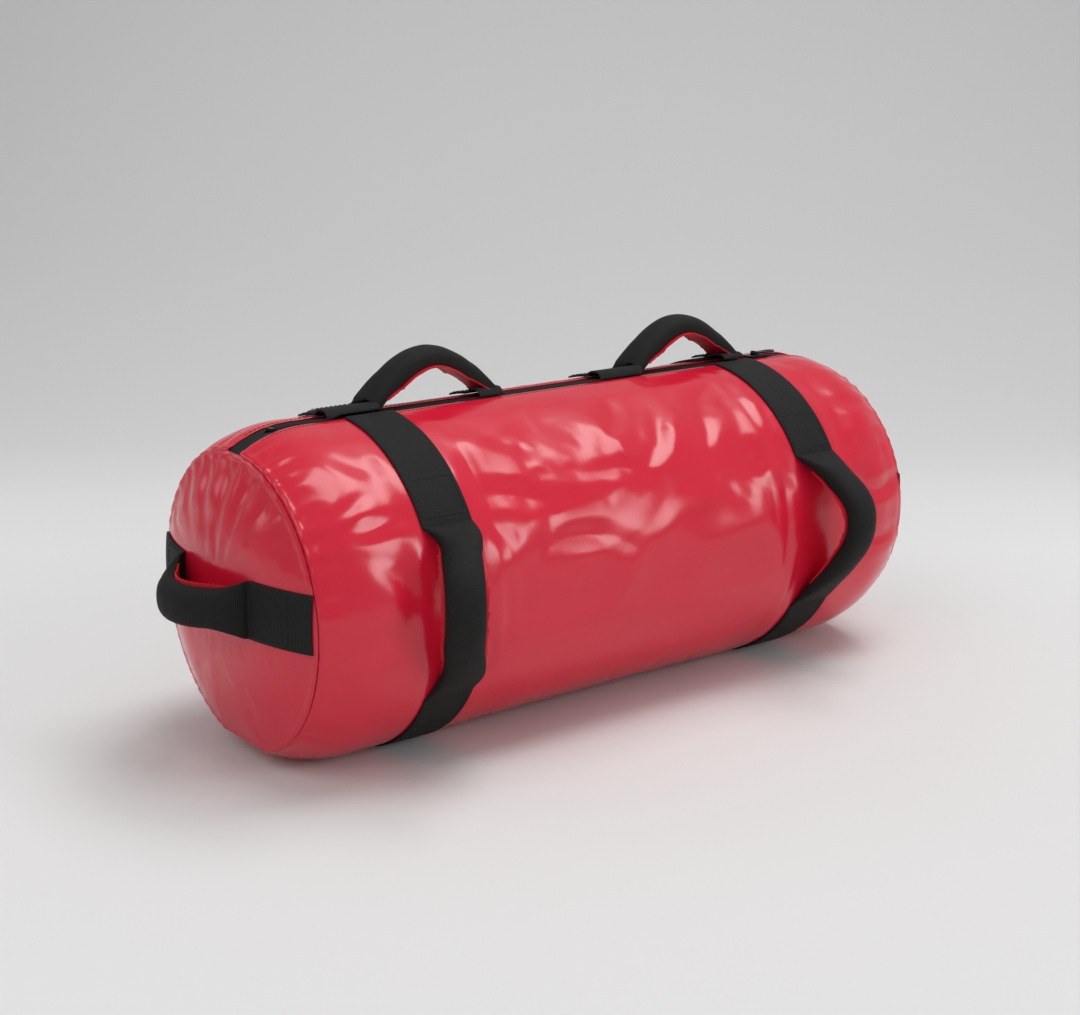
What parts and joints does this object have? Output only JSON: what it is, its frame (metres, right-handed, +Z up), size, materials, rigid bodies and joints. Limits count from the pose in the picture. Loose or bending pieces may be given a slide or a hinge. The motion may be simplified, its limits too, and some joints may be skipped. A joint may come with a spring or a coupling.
{
  "type": "sandbag trainer",
  "caption": "Zipped barrel bag of glossy vinyl with inner sand pouches, girth webbing straps and padded webbing loop handles for strength training.",
  "frame": {"origin": "centre of the flat strip under the barrel, on the floor, midway between the girth straps", "axes": "+X along the bag towards the end where the zip slider is parked, -Y towards the front with the two side handles, +Z up"},
  "size_m": [0.6348, 0.2691, 0.261],
  "materials": {
    "red_vinyl": "glossy",
    "black_webbing": "matt woven",
    "zip_tape": "matt woven",
    "binding_tape": "matt woven",
    "coil_nylon": "satin",
    "slider_metal": "satin black",
    "grip_foam": "closed-cell foam",
    "pouch_cloth": "matt woven",
    "sand": "granular"
  },
  "bodies": {
    "bag": {"barrel_shell": "red_vinyl", "end_panel_left": "red_vinyl", "end_panel_right": "red_vinyl", "end_strap_left_back": "black_webbing", "end_strap_left_front": "black_webbing", "end_strap_right_back": "black_webbing", "end_strap_right_front": "black_webbing", "filler_pouch_left": "pouch_cloth", "filler_pouch_middle": "pouch_cloth", "filler_pouch_right": "pouch_cloth", "front_left_handle_lower_leg": "black_webbing", "front_right_handle_lower_leg": "black_webbing", "girth_strap_left_lower": "black_webbing", "girth_strap_left_upper": "black_webbing", "girth_strap_right_lower": "black_webbing", "girth_strap_right_upper": "black_webbing", "pouch_cinch_left": "black_webbing", "pouch_cinch_middle": "black_webbing", "pouch_cinch_right": "black_webbing", "sand_fill_left": "sand", "sand_fill_middle": "sand", "sand_fill_right": "sand", "seam_binding_left": "binding_tape", "seam_binding_right": "binding_tape", "top_left_handle_left_tab": "black_webbing", "top_left_handle_right_tab": "black_webbing", "top_right_handle_left_tab": "black_webbing", "top_right_handle_right_tab": "black_webbing", "zip_bottom_stop": "slider_metal", "zip_chain_back": "coil_nylon", "zip_chain_front": "coil_nylon", "zip_tape_back": "zip_tape", "zip_tape_front": "zip_tape", "zip_top_stop_back": "slider_metal", "zip_top_stop_front": "slider_metal"},
    "top_left_handle": {"top_left_handle_sleeve": "black_webbing", "top_left_handle_core": "grip_foam", "top_left_handle_lining": "red_vinyl"},
    "top_right_handle": {"top_right_handle_sleeve": "black_webbing", "top_right_handle_core": "grip_foam", "top_right_handle_lining": "red_vinyl"},
    "front_left_handle": {"front_left_handle_sleeve": "black_webbing", "front_left_handle_core": "grip_foam", "front_left_handle_lining": "red_vinyl"},
    "front_right_handle": {"front_right_handle_sleeve": "black_webbing", "front_right_handle_core": "grip_foam", "front_right_handle_lining": "red_vinyl"},
    "end_left_handle": {"end_left_handle_sleeve": "black_webbing", "end_left_handle_core": "grip_foam", "end_left_handle_lining": "red_vinyl"},
    "end_right_handle": {"end_right_handle_sleeve": "black_webbing", "end_right_handle_core": "grip_foam", "end_right_handle_lining": "red_vinyl"},
    "zip_slider": {"zip_slider": "slider_metal"},
    "zip_pull": {"zip_pull": "slider_metal"}
  },
  "joints": [
    {"name": "top_left_swing", "type": "hinge", "parent": "bag", "child": "top_left_handle", "pos_m": [-0.1054, 0.012, 0.22595], "axis": [1, 0, 0], "range_deg": [-48, 36], "stiffness_Nm_per_rad": 0.4, "deforming": ["top_left_handle_left_tab", "top_left_handle_right_tab"]},
    {"name": "top_right_swing", "type": "hinge", "parent": "bag", "child": "top_right_handle", "pos_m": [0.1265, 0.012, 0.22595], "axis": [1, 0, 0], "range_deg": [-48, 36], "stiffness_Nm_per_rad": 0.4, "deforming": ["top_right_handle_left_tab", "top_right_handle_right_tab"]},
    {"name": "front_left_swing", "type": "hinge", "parent": "bag", "child": "front_left_handle", "pos_m": [-0.1654, -0.112, 0.10895], "axis": [0, 0, 1], "range_deg": [-14, 72], "stiffness_Nm_per_rad": 0.4, "deforming": ["girth_strap_left_upper", "front_left_handle_lower_leg"]},
    {"name": "front_right_swing", "type": "hinge", "parent": "bag", "child": "front_right_handle", "pos_m": [0.1654, -0.112, 0.10895], "axis": [0, 0, 1], "range_deg": [-50, 36], "stiffness_Nm_per_rad": 0.4, "deforming": ["girth_strap_right_upper", "front_right_handle_lower_leg"]},
    {"name": "end_left_swing", "type": "hinge", "parent": "bag", "child": "end_left_handle", "pos_m": [-0.28445, 0, 0.11694], "axis": [0, 1, 0], "range_deg": [-38, 38], "stiffness_Nm_per_rad": 0.4, "deforming": ["end_strap_left_front", "end_strap_left_back"]},
    {"name": "end_right_swing", "type": "hinge", "parent": "bag", "child": "end_right_handle", "pos_m": [0.28445, 0, 0.11694], "axis": [0, 1, 0], "range_deg": [-38, 38], "stiffness_Nm_per_rad": 0.4, "deforming": ["end_strap_right_front", "end_strap_right_back"]},
    {"name": "zip_slide", "type": "slide", "parent": "bag", "child": "zip_slider", "axis": [1, 0, 0], "range_m": [-0.406, 0], "deforming": ["zip_chain_front", "zip_chain_back"]},
    {"name": "pull_swing", "type": "hinge", "parent": "zip_slider", "child": "zip_pull", "pos_m": [0.198, 0, 0.22454], "axis": [0, -1, 0], "range_deg": [0, 110]}
  ]
}
